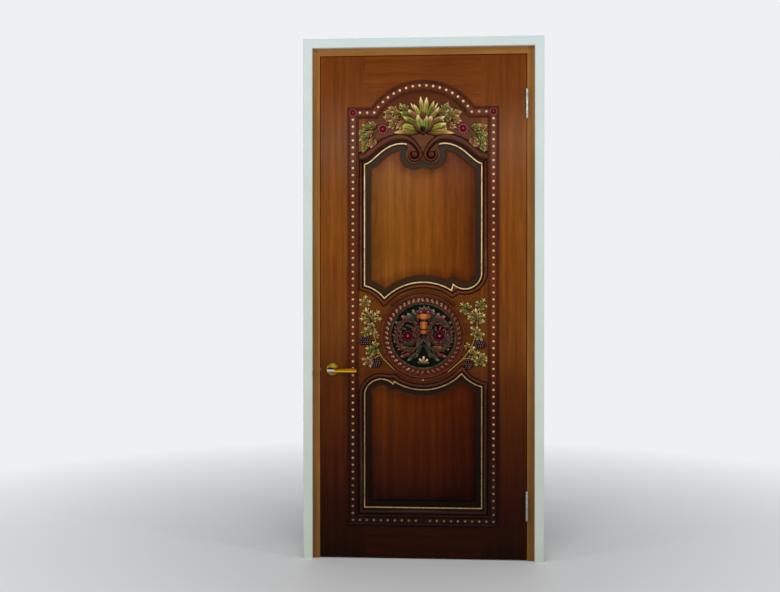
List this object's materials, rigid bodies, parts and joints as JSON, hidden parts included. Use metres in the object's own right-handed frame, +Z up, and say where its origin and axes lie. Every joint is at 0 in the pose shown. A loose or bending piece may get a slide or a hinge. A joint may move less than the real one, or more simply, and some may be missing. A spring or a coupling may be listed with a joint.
{
  "type": "carved panelled door in its frame",
  "caption": "Carved teak door leaf with beaded arch border, two shaped panels and a vase medallion, hung on butt hinges in a rebated frame with white casings and a lever latch.",
  "frame": {"origin": "finished floor level, middle of the doorway, in the plane of the jamb front faces, where the frame stands in its wall opening", "axes": "+Z up, +X along the leaf toward the hinges, +Y into the wall; the carved face looks toward -Y"},
  "size_m": [0.998, 0.178, 2.168],
  "materials": {
    "jamb_teak": "satin varnish on lighter teak",
    "casing_paint": "white satin paint",
    "leaf_teak": "gloss varnish on reddish teak",
    "panel_teak": "gloss varnish, shaded dark at the margins",
    "moulding_teak": "dark gloss varnish",
    "gilt": "worn gold paint",
    "leaf_green": "rubbed green and gold paint",
    "rosette_red": "deep red paint",
    "grape_purple": "dark purple paint",
    "dish_green": "black green paint",
    "vase_orange": "orange gold paint",
    "brass": "polished",
    "hub_chrome": "polished",
    "steel": "satin"
  },
  "bodies": {
    "frame": {"lock_jamb": "jamb_teak", "hinge_jamb": "jamb_teak", "head_jamb": "jamb_teak", "casing_left": "casing_paint", "casing_right": "casing_paint", "casing_head": "casing_paint", "back_casing_left": "casing_paint", "back_casing_right": "casing_paint", "back_casing_head": "casing_paint", "hinge_leaves_jamb": "steel", "hinge_pins": "steel", "hinge_screws_jamb": "steel", "strike_plate": "brass", "strike_screws": "brass"},
    "leaf": {"lock_stile": "leaf_teak", "hinge_stile": "leaf_teak", "top_rail": "leaf_teak", "lock_rail": "leaf_teak", "bottom_rail": "leaf_teak", "upper_panel": "panel_teak", "lower_panel": "panel_teak", "border_left": "moulding_teak", "border_right": "moulding_teak", "border_arch": "moulding_teak", "border_bottom": "moulding_teak", "border_beads": "gilt", "upper_moulding": "moulding_teak", "lower_moulding": "moulding_teak", "upper_fillet": "gilt", "lower_fillet": "gilt", "crest_palmette": "leaf_green", "crest_spray_left": "leaf_green", "crest_spray_right": "leaf_green", "corner_rosettes": "rosette_red", "crest_rosettes": "rosette_red", "vine_left": "leaf_green", "vine_right": "leaf_green", "grapes": "grape_purple", "medallion_ring": "moulding_teak", "medallion_dish": "dish_green", "medallion_beads": "gilt", "medallion_vase": "vase_orange", "medallion_scrolls": "vase_orange", "medallion_rosettes": "rosette_red", "hinge_leaves_door": "steel", "hinge_screws_door": "steel", "front_rose": "brass", "back_rose": "brass", "rose_bolts": "steel", "latch_case": "steel", "latch_faceplate": "brass", "faceplate_screws": "brass"},
    "lever_set": {"front_lever_hub": "hub_chrome", "front_lever_grip": "brass", "back_lever_hub": "hub_chrome", "back_lever_grip": "brass", "spindle": "steel", "latch_follower": "steel"},
    "latch": {"latch_bolt": "steel"}
  },
  "joints": [
    {"name": "door_swing", "type": "hinge", "parent": "frame", "child": "leaf", "pos_m": [0.4295, -0.0063, 0], "axis": [0, 0, 1], "range_deg": [0, 170]},
    {"name": "lever_turn", "type": "hinge", "parent": "leaf", "child": "lever_set", "pos_m": [-0.378, 0.022, 0.791], "axis": [0, 1, 0], "range_deg": [0, 45], "stiffness_Nm_per_rad": 1.2, "springref_deg": -34.38},
    {"name": "latch_slide", "type": "slide", "parent": "leaf", "child": "latch", "axis": [1, 0, 0], "range_m": [0, 0.011]}
  ],
  "couplings": [
    {"joint": "latch_slide", "follows": "lever_turn", "m_per_rad": 0.014}
  ]
}
